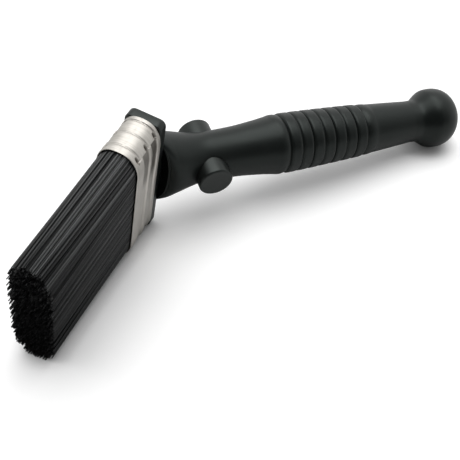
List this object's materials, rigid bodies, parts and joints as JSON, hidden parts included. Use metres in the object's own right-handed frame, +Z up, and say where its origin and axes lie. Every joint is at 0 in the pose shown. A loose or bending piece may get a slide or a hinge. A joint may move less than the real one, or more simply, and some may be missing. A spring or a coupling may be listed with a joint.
{
  "type": "angled cleaning brush",
  "caption": "Hand-held angled cleaning brush: ribbed soft grip with ball pommel and cross rest pegs, flared neck, steel ferrule and deep flat bristle head set at 45 degrees.",
  "frame": {"origin": "centre of the box around the brush, on the surface that it lies on", "axes": "+X along the grip from the head to the pommel, as seen from above; +Y to the side away from the bristles; +Z up from the surface that it lies on"},
  "size_m": [0.2388, 0.0918, 0.0687],
  "materials": {
    "soft_grip": "matte soft-touch",
    "black_plastic": "fine matte texture",
    "core_plastic": "plain moulded",
    "pin_steel": "drawn",
    "stainless": "brushed",
    "resin": "cured, glossy",
    "spacer_wood": "bare",
    "bristle_nylon": "slightly glossy filament"
  },
  "bodies": {
    "root": {"grip_sleeve": "soft_grip", "handle_core": "core_plastic", "head_block": "black_plastic", "head_dowel_upper": "pin_steel", "head_dowel_lower": "pin_steel", "peg_pin": "pin_steel", "rest_peg_near": "black_plastic", "rest_peg_far": "black_plastic", "ferrule": "stainless", "setting_resin": "resin", "spacer_strip_near": "spacer_wood", "spacer_strip_far": "spacer_wood", "bristles": "bristle_nylon"}
  },
  "joints": []
}
